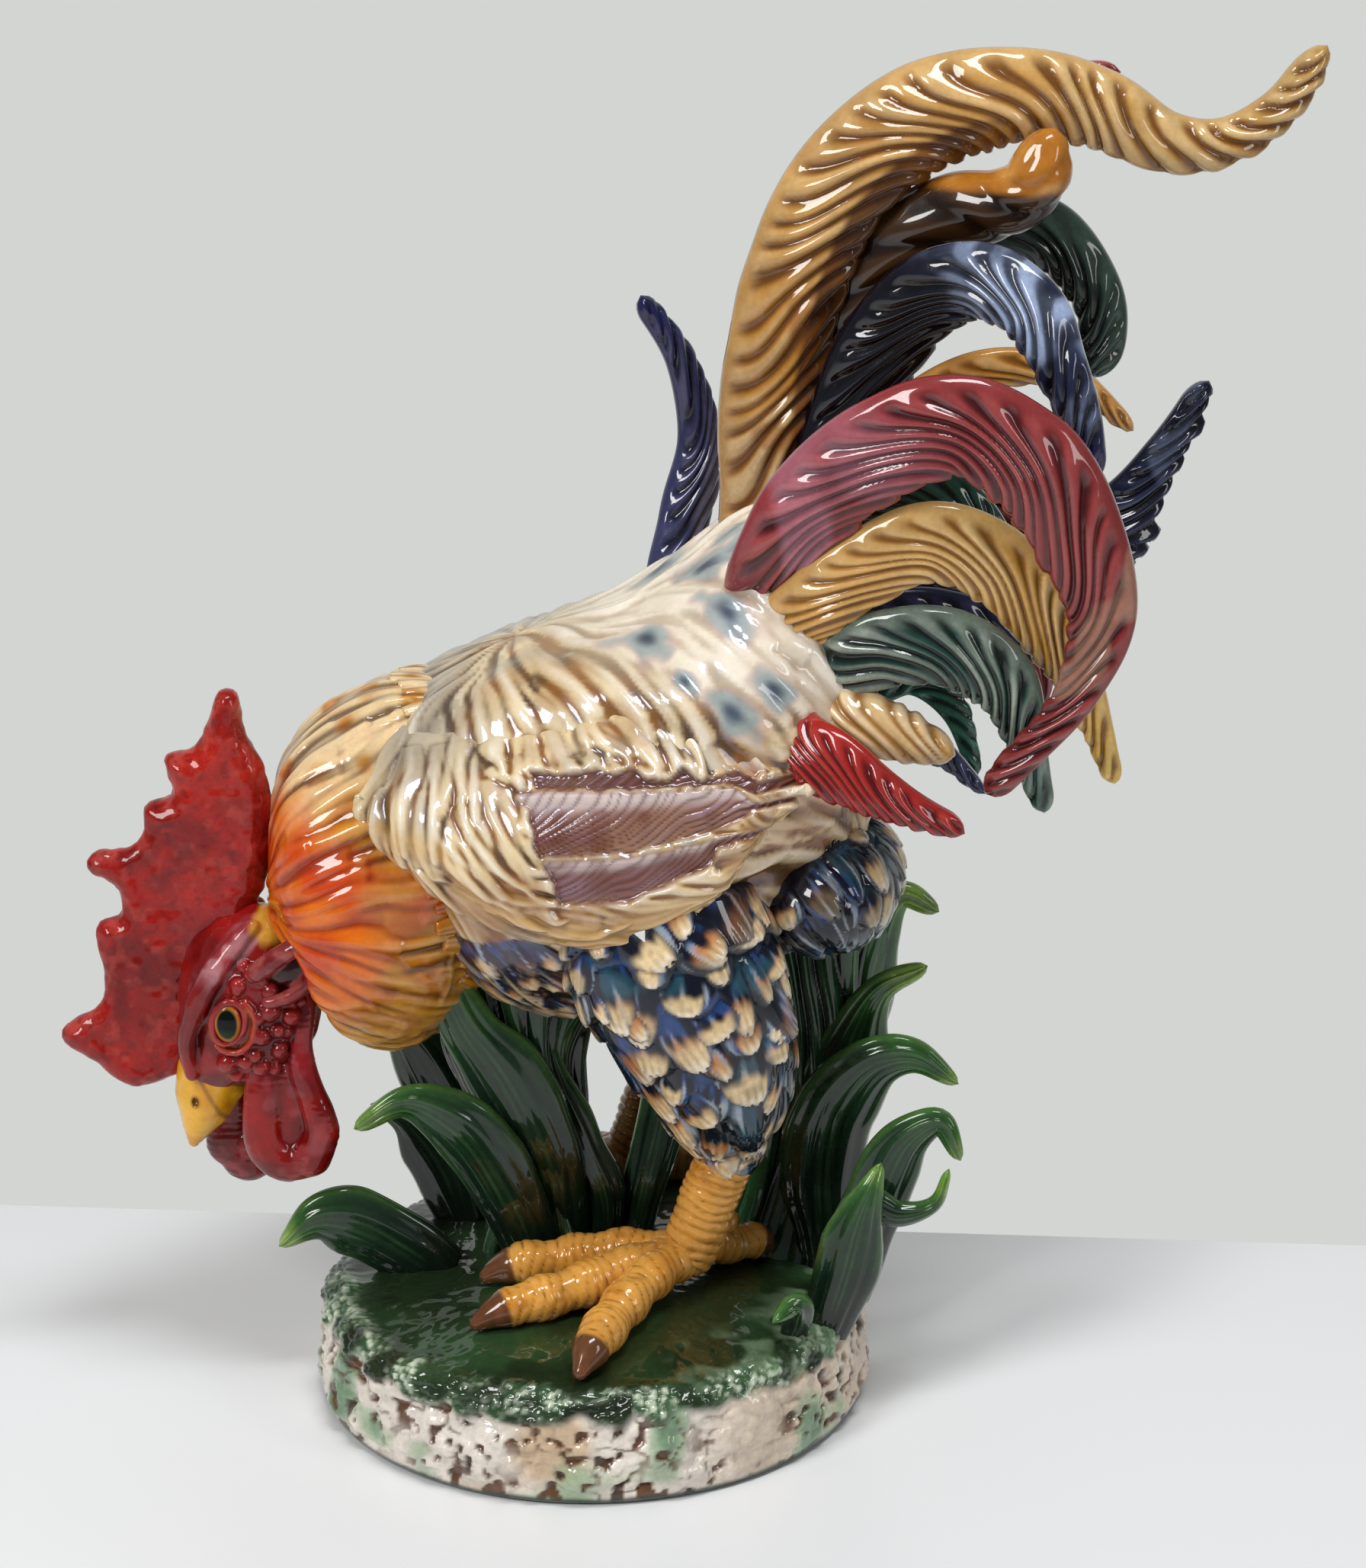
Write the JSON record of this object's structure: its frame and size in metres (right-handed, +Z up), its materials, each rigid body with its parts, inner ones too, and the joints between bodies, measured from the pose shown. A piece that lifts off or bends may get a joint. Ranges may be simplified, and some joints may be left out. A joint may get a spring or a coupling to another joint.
{
  "type": "rooster figurine",
  "caption": "Glazed ceramic rooster with its head bowed and a tall arching tail, standing on a round grassy mound.",
  "frame": {"origin": "centre of the overall box in plan, on the plane that the foot ring stands on", "axes": "+Z up; -X the way the rooster faces, +X towards the tail; -Y its left side, +Y its right side"},
  "size_m": [0.5286, 0.257, 0.5751],
  "materials": {
    "leaf_green": "glossy bottle green glaze with paler tips",
    "body_cream": "glossy ivory glaze with brown in the grooves",
    "hackle_orange": "glossy orange glaze that fades to cream",
    "beak_yellow": "glossy yellow glaze",
    "eye_amber": "glossy amber glaze round a dark pupil",
    "face_red": "glossy dark red glaze with a pearly sheen",
    "comb_red": "glossy mottled red glaze",
    "scale_blue": "glossy navy glaze with cream edges",
    "leg_ochre": "glossy ochre glaze with brown rings",
    "tail_maroon": "glossy maroon glaze with a pearly sheen",
    "tail_navy": "glossy navy glaze with a pearly sheen",
    "tail_teal": "glossy dark teal glaze",
    "tail_ochre": "glossy ochre and brown glaze"
  },
  "bodies": {
    "root": {"base_mound": "leaf_green", "grass_clump_front": "leaf_green", "grass_clump_rear": "leaf_green", "leaf_broad_right": "leaf_green", "leaf_breast_left": "leaf_green", "leaf_hook_left": "leaf_green", "leaf_low_left": "leaf_green", "leaf_hole_left": "leaf_green", "leaf_hole_right": "leaf_green", "leaf_tip_lower": "leaf_green", "leaf_tip_upper": "leaf_green", "leaf_curl_right": "leaf_green", "leaf_loop_right": "leaf_green", "leaf_dark_left": "leaf_green", "leaf_tall_left": "leaf_green", "leaf_rim_right": "leaf_green", "leaf_bud_front": "leaf_green", "leaf_back_left": "leaf_green", "leaf_back_right": "leaf_green", "body_casting": "body_cream", "neck_hackle": "hackle_orange", "beak": "beak_yellow", "eye_left": "eye_amber", "eye_right": "eye_amber", "head": "face_red", "comb": "comb_red", "wattle_left": "comb_red", "wattle_right": "comb_red", "earlobe_left": "face_red", "earlobe_right": "face_red", "wing_left": "body_cream", "wing_right": "body_cream", "thigh_left": "scale_blue", "foot_left": "leg_ochre", "thigh_right": "scale_blue", "foot_right": "leg_ochre", "rump_fluff": "scale_blue", "sickle_maroon_side": "tail_maroon", "sickle_great": "tail_ochre", "covert_gold_side": "tail_ochre", "covert_green_side": "tail_teal", "covert_red_low": "tail_maroon", "covert_ochre_stub": "tail_ochre", "sickle_navy": "tail_navy", "sickle_knob": "tail_ochre", "sickle_maroon_upper": "tail_maroon", "covert_ochre_upper": "tail_ochre", "sickle_green_upper": "tail_teal", "covert_green_inner": "tail_teal", "covert_navy_inner": "tail_navy", "covert_navy_low": "tail_navy", "spike_navy_right": "tail_navy", "spike_navy_left": "tail_navy", "sickle_maroon_far": "tail_maroon", "covert_gold_far": "tail_ochre", "covert_green_far": "tail_teal"}
  },
  "joints": []
}
